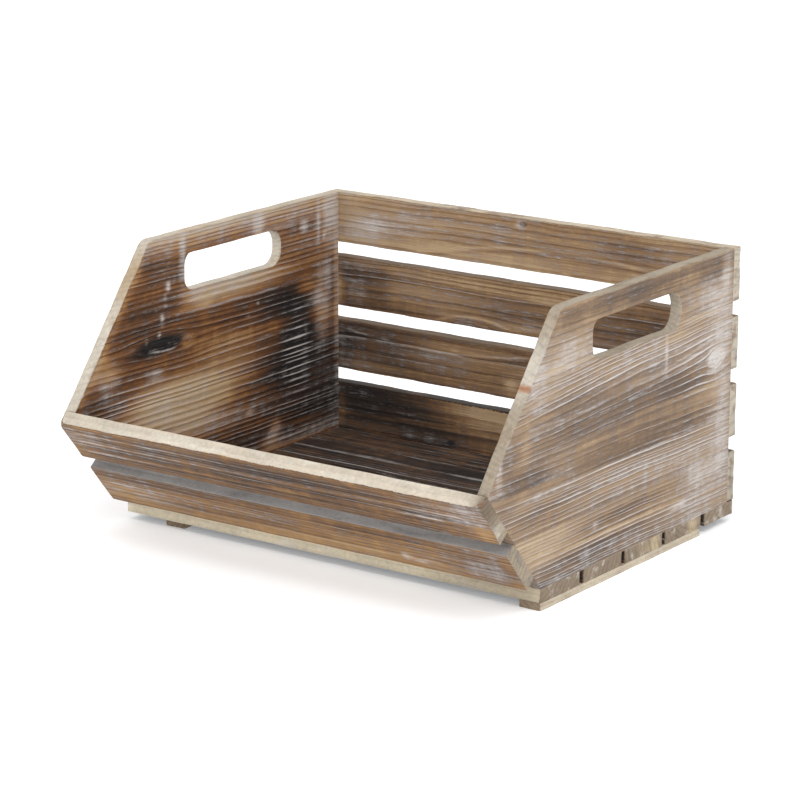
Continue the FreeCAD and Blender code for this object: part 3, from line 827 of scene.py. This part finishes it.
SLAT_TONES = [(184, 158, 124), (152, 121, 88), (112, 85, 62), (68, 54, 46), (38, 35, 35), CHALK]
TANNED_EDGE = (124, 106, 88)
CHARRED_EDGE = (62, 54, 48)
CHALKY_END = (178, 169, 154)
top_wood = limewashed_wood("back_top_wood", SLAT_TONES, SANDED, CHALKY_END)
back_wood = limewashed_wood("back_slat_wood", SLAT_TONES, TANNED_EDGE, CHALKY_END)
bottom_wood = limewashed_wood("back_bottom_wood", SLAT_TONES, CHARRED_EDGE, CHALKY_END)
# Marks are as on the side boards, from the strip's middle, in millimetres along and across it
BACK_LOOKS = {
    "back_slat_top": strip_looks(
        31, 0.22, 0.02, lines=-0.1,
        grain={"pith": (-0.3, 0.05), "widths": [(-20, 9), (2, 6), (20, 3.2)],
               "knots": [(-1, 16.5, 2.2, 1.3)]},
        face={"scorch": [(60, 2, 130, 18, 0.10), (-60, -17, 70, 5, -0.1), (-1, 16.5, 1.6, 1.2, 0.5),
                         (40, 18, 60, 4, 0.12), (-110, 16, 40, 6, 0.06), (110, 8, 30, 12, 0.16),
                         (-180, 0, 18, 24, -0.1), (-40, -10, 150, 4, -0.1)],
              "lime": [(-160, -8, 25, 14, 0.46), (-120, 6, 30, 14, 0.16), (-3, 16, 4.5, 3.6, 0.55),
                       (-40, 6, 60, 6, 0.08), (132, 10, 12, 10, 0.12)],
              "scorch_strokes": [((-112, -21), (-25, -6.5), (120, -7), 1.2, -0.22),
                                 ((-104, -24), (-20, -9.5), (120, -10), 1.3, 0.14)],
              "lines": [(-100, 12, 90, 10, 0.2)]}),
    "back_slat_upper": strip_looks(
        32, 0.39, -0.06, lines=-0.1,
        grain={"pith": (-0.3, 0.04), "widths": [(-20, 8), (20, 4.4)],
               "knots": [(-52, -21, 5, 5)]},
        face={"scorch": [(-182, 3, 20, 20, 0.30), (-90, 17, 90, 4, -0.16), (30, 12, 90, 5, -0.06),
                         (-90, -2, 60, 14, -0.10), (60, -4, 80, 12, 0.10),
                         (-150, -18, 60, 5, 0.24), (-152, 2, 18, 18, 0.26),
                         (-192, -6, 8, 20, -0.5), (-20, -18, 80, 5, -0.16),
                         (122, 6, 30, 14, 0.16)],
              "lime": [(-170, -7, 12, 12, 0.38), (-168, 17, 26, 7, 0.24), (-110, 2, 50, 10, 0.12),
                       (-52, -18, 20, 4, 0.20), (10, -14, 24, 5, 0.2)],
              "scorch_strokes": [((-90, -22), (-50, -13.5), (-8, -21), 1.0, -0.28),
                                 ((-140, 13), (-60, 12), (60, 9), 1.0, -0.2),
                                 ((-150, 9), (-60, 8), (80, 5), 1.0, 0.2)]}),
    "back_slat_lower": strip_looks(
        33, 0.46, -0.06, lines=-0.1,
        grain={"pith": (0.2, 0.05), "widths": [(-20, 12), (20, 9)]},
        face={"scorch": [(-160, 10, 50, 14, 0.22), (0, 19, 200, 3, 0.12), (-60, -18, 100, 5, 0.02),
                         (-10, -10, 7, 3.5, -0.35), (-184, -5, 10, 20, 0.2),
                         (-70, 10, 60, 6, -0.10), (-140, -8, 40, 6, 0.10), (60, 0, 60, 14, -0.06),
                         (-4, -12, 16, 14, -0.2), (-40, 8, 60, 5, -0.1)],
              "lime": [(-88, 0, 40, 12, 0.22), (-186, 0, 5, 20, 0.2), (-168, -14, 24, 9, 0.22),
                       (-10, 12, 20, 4, 0.1)],
              "lime_strokes": [((-186, 15), (-98, 8), (14, 16.5), 0.9, 0.4)],
              "scorch_strokes": [((-186, 12), (-98, 5), (14, 13), 1.6, 0.16)]}),
    "back_slat_bottom": strip_looks(
        34, 0.68, -0.14, lines=-0.1,
        grain={"pith": (-0.2, 0.06), "widths": [(-20, 11), (20, 9)],
               "knots": [(-71, -16, 2.0, 1.5)]},
        face={"scorch": [(-150, 8, 60, 16, 0.26), (-25, 15, 62, 10, -0.54),
                         (-20, 21, 160, 2, -0.05), (-71, -16, 5, 3, 0.4), (60, 4, 70, 18, -0.26),
                         (-110, -8, 60, 6, 0.12), (-30, -4, 42, 22, -0.22),
                         (-188, -5, 6, 20, -0.2)],
              "lime": [(-135, -12, 44, 6, 0.14), (-188, 0, 4, 20, 0.14), (-30, 4, 40, 6, 0.12)],
              "scorch_strokes": [((-130, -3), (-60, 0), (0, 4), 1.0, -0.25)]}),
}
for node, looks in BACK_LOOKS.items():
    looks["relief"] = PLANED_RELIEF
    low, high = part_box(node)
    size = (high[0] - low[0], high[2] - low[2], BACK_THICKNESS)
    wood = {"top": top_wood, "bottom": bottom_wood}.get(node.split("_")[-1], back_wood)
    make_strip(node, BACK_TURN, size, looks, wood)

# Front slats
# Two strips nailed to the sloping edges below the lip. The upper one's top edge was sanded
# bare and its corners rubbed round. The lower one's top edge has a grey-blue film of lime.

FRONT_THICKNESS = 11 * MM
FRONT_WIDTHS = {"front_slat_upper": 45.5 * MM, "front_slat_lower": 43.7 * MM}
front_run = (toe - lip).normalized()
FRONT_TURN = Matrix(((1, 0, 0), (0, front_run.x, -front_run.y), (0, front_run.y, front_run.x)))
FRONT_TONES = [(184, 158, 120), (157, 122, 79), (116, 85, 56), (72, 57, 49), (40, 37, 36), CHALK]
BLUE_GREY = (142, 139, 137)
BLUE_STAIN = (120, 114, 112)
SANDED_CREAM = (194, 183, 166)
SCORCHED_END = (112, 98, 82)
DULL_END = (156, 143, 124)
DULL_STREAK = (204, 197, 184)
front_upper_wood = limewashed_wood("front_upper_wood", FRONT_TONES, SANDED_CREAM, DULL_END,
                                   stain=DULL_STREAK, fresh=SCORCHED_END)
front_lower_wood = limewashed_wood("front_lower_wood", FRONT_TONES, BLUE_GREY, DULL_END,
                                   stain=BLUE_STAIN)
LIP_CORNER = 3 * MM
LIP_END_ROUND = 3.2 * MM
RUBBED_REACH, RUBBED_DEPTH = 10 * MM, 2.6 * MM
SANDED_REACH, SANDED_DEPTH = 3 * MM, 0.3 * MM


def rub_lip(strip, size):
    """Round the lip's two outer corners, as hands have, and soften its long outer edge."""
    points = points_of(strip)
    end = np.sign(points[:, :1])
    gaps = np.array(size) / 2 - points * (end * [1, 0, 0] - [0, 1, 1])
    rubbed = RUBBED_DEPTH * np.clip(1 - gaps.sum(axis=1) / RUBBED_REACH, 0, 1) ** 2
    sanded = SANDED_DEPTH * np.clip(1 - gaps[:, 1:].sum(axis=1) / SANDED_REACH, 0, 1)
    points += rubbed[:, None] * (end * [-1, 0, 0] + [0, 1, 1])
    points += sanded[:, None] * [0, 1, 1]
    strip.data.vertices.foreach_set("co", points.ravel())


FRONT_LOOKS = {
    "front_slat_upper": strip_looks(
        41, 0.56, -0.04, lines=0.05, bare_side=-1,
        grain={"pith": (-0.4, 0.1), "widths": [(-20, 4.2), (20, 4.2)], "wave": 0.6 * MM},
        reverse={"scorch": [(0, 19, 200, 4, 0.04), (-190, 0, 40, 20, -0.12),
                            (175, -4, 40, 20, -0.02), (135, 9, 50, 8, -0.12),
                            (191, 12, 10, 12, -0.2), (-20, -18, 130, 5, -0.1),
                            (-10, 12, 120, 8, 0.02), (20, -12, 110, 7, 0.10)],
                 "lime": [(184, -6, 24, 14, 0.16), (-185, -2, 20, 16, 0.16),
                          (164, -4, 44, 26, 0.16), (20, -12, 100, 8, -0.16),
                          (40, -2, 100, 24, -0.1), (20, 14, 140, 12, -0.18),
                          (20, 10, 150, 12, -0.12)],
                 "lime_strokes": [((-190, -10), (-20, -11), (192, -13), 1.1, 0.32),
                                  ((-192, -0.5), (0, -1.5), (180, -4), 1.2, 0.36),
                                  ((-190, 12.5), (-40, 10), (160, 5), 1.2, 0.40),
                                  ((-150, 5), (0, 4), (120, 1), 0.8, 0.15)],
                 "scorch_strokes": [((-190, -6), (0, -7), (190, -9), 1.8, 0.16),
                                    ((-190, 5), (0, 4), (190, 0), 2.0, 0.18),
                                    ((-190, 15), (0, 13), (170, 9), 1.2, 0.16)]}),
    "front_slat_lower": strip_looks(
        42, 0.42, 0.0, lines=0.05, bare_side=-1,
        grain={"pith": (-0.4, -0.1), "widths": [(-20, 4), (20, 5)], "wave": 1.2 * MM},
        reverse={"scorch": [(-40, -16, 200, 8, 0.22), (20, 15, 110, 6, -0.16),
                            (60, -10, 60, 6, 0.12), (165, 4, 40, 16, 0.20),
                            (-170, 8, 40, 12, -0.10), (-80, 8, 80, 10, 0.06),
                            (45, -14, 44, 6, -0.1)],
                 "lime": [(96, 9.5, 5, 4, 0.7), (108, 13, 6, 2, 0.4), (-100, 0, 60, 4, 0.08),
                          (20, 14, 130, 9, -0.12), (-170, 2, 40, 10, 0.18), (50, -12, 40, 6, -0.2),
                          (130, 11, 60, 13, 0.18), (165, 0, 34, 20, 0.12)],
                 "lime_strokes": [((-195, -3.5), (-110, -4), (-20, -1), 0.8, 0.28),
                                  ((98, 12), (112, 9.5), (132, 10.5), 0.8, 0.4),
                                  ((120, 0), (150, -1), (192, -1), 0.8, 0.2)]}),
}
FRONT_LOOKS["front_slat_upper"].update(corner=LIP_CORNER, outer_end=LIP_END_ROUND,
                                       shaping=rub_lip, sawn=[(202, -14, 12, 20, 0.9)])
for node, looks in FRONT_LOOKS.items():
    low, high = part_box(node)
    size = (high[0] - low[0], FRONT_WIDTHS[node], FRONT_THICKNESS)
    wood = front_upper_wood if node.endswith("upper") else front_lower_wood
    make_strip(node, FRONT_TURN, size, looks, wood)

# Floor slats
# Five strips nailed up into the sides' lower edges. They are nearly black inside the crate,
# and only the front one shows a pale sawn edge.

PALE_SAWN = (207, 196, 172)
WASHED_END = (138, 122, 104)
WASH_STREAK = (206, 200, 190)
BROWNED = (124, 106, 86)
SAWN_ENDS = {"front": [(190, -27, 80, 14, 0.35)],
             "third": [(200, 16, 40, 7, 0.9), (200, 0, 40, 9, 0.4)],
             "fourth": [(200, 14, 40, 8, 0.6)]}
front_floor_wood = limewashed_wood("front_floor_wood", SLAT_TONES, PALE_SAWN, WASHED_END,
                                   stain=WASH_STREAK, fresh=BROWNED)
floor_wood = limewashed_wood("floor_slat_wood", SLAT_TONES, CHARRED_EDGE, WASHED_END,
                             stain=WASH_STREAK)
for number, name in enumerate(["front", "second", "third", "fourth", "rear"]):
    node = f"floor_slat_{name}"
    low, high = (Vector(corner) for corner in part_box(node))
    looks = strip_looks(51 + number, 0.78, -0.26, bare_side=-1 if name == "front" else 0,
                        grain={"widths": [(-40, 5), (40, 5)]})
    looks["sawn"] = SAWN_ENDS.get(name, [])
    wood = front_floor_wood if name == "front" else floor_wood
    make_strip(node, Matrix.Identity(3), tuple(high - low), looks, wood)

# Runners
# Two thin softwood strips, sawn and left almost bare. They are nailed up across the first
# four floor slats, and the crate stands on them.

ALONG_Y = Matrix(((0, -1, 0), (1, 0, 0), (0, 0, 1)))
RUNNER_SIDE = (190, 178, 158)
RUNNER_END = (134, 118, 98)
runner_wood = limewashed_wood("runner_wood", GREY_TONES, RUNNER_SIDE, RUNNER_END)
for number, node in enumerate(["runner_left", "runner_right"]):
    low, high = (Vector(corner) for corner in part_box(node))
    size = high - low
    looks = strip_looks(61 + number, 0.12, 0.2, bare_side=-1)
    make_strip(node, ALONG_Y, (size.y, size.x, size.z), looks, runner_wood)

# Brads
# Flat steel wire nails with pressed heads, sunk flush through every slat and runner. The
# scorching and the wash have dulled them to brown.

STEEL_DARK = (46, 38, 33)
STEEL_LIGHT = (84, 74, 66)
SPOTS_PER_METRE = 900
brad_steel, tree, shader = new_material("brad_steel")
places = place_node(tree, "ShaderNodeTexCoord").outputs["Object"]
spots = place_node(tree, "ShaderNodeTexNoise", places, SPOTS_PER_METRE, 3.0, 0.6)
colour = mix(tree, soft_step(tree, spots.outputs[0], 0.4, 0.65), srgb(*STEEL_DARK),
             srgb(*STEEL_LIGHT))
tree.links.new(colour, shader.inputs["Base Color"])
tree.links.new(even_step(tree, spots.outputs[0], 0.3, 0.7, 0.65, 0.4), shader.inputs["Roughness"])
set_inputs(shader, Metallic=0.8)
for node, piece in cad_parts.items():
    if node.endswith("brads"):
        piece.data.materials.clear()
        piece.data.materials.append(brad_steel)

# Stand for the photograph
# A pale paper floor that glows a little, so that it stays white, soft light from all round
# with two soft boxes above, and the camera at the photograph's viewing angle.

FLOOR_WIDTH = 12
PAPER_WHITE = (0.94, 0.94, 0.94, 1)
COOL_GLOW = (0.92, 0.96, 1, 1)
ROOM_WHITE = (1, 1, 1, 1)
deselect_all()
bpy.ops.mesh.primitive_plane_add(size=FLOOR_WIDTH, location=(0, 0, 0))
floor = bpy.context.object
floor.name = "floor"
paper, tree, shader = new_material("pale_floor")
set_inputs(shader, Base_Color=PAPER_WHITE, Roughness=0.9, Emission_Color=COOL_GLOW,
           Emission_Strength=0.22)
floor.data.materials.append(paper)

world = bpy.data.worlds.new("studio")
bpy.context.scene.world = world
world.use_nodes = True
set_inputs(world.node_tree.nodes["Background"], Color=ROOM_WHITE, Strength=1.05)


CRATE_MIDDLE = Vector((0, 0, 0.1))


def soft_box(name, place, width, power):
    """A square soft light that looks at the crate."""
    lamp = bpy.data.lights.new(name, "AREA")
    lamp.size = width
    lamp.energy = power
    holder = bpy.data.objects.new(name, lamp)
    holder.location = place
    aim = CRATE_MIDDLE - Vector(place)
    holder.rotation_euler = aim.to_track_quat("-Z", "Y").to_euler()
    bpy.context.scene.collection.objects.link(holder)


soft_box("key_light", place=(0.9, -1.0, 1.9), width=1.2, power=16)
soft_box("fill_light", place=(-1.5, -1.8, 1.6), width=1.6, power=6)

CAMERA_PLACE = (1.4070, -1.9772, 0.7551)
CAMERA_YAW, CAMERA_PITCH, CAMERA_ROLL = 35.456, 14.915, 0.186
FOCAL_PIXELS = 3170.1
FRAME_PIXELS = 800
SENSOR = 36.0
lens = bpy.data.cameras.new("camera")
lens.sensor_width = SENSOR
lens.lens = FOCAL_PIXELS / FRAME_PIXELS * SENSOR
camera = bpy.data.objects.new("camera", lens)
turn = (Matrix.Rotation(math.radians(CAMERA_YAW), 3, "Z")
        @ Matrix.Rotation(math.radians(90 - CAMERA_PITCH), 3, "X")
        @ Matrix.Rotation(math.radians(CAMERA_ROLL), 3, "Z"))
camera.matrix_world = Matrix.Translation(CAMERA_PLACE) @ turn.to_4x4()
bpy.context.scene.collection.objects.link(camera)
bpy.context.scene.camera = camera
bpy.context.scene.view_settings.view_transform = "Standard"
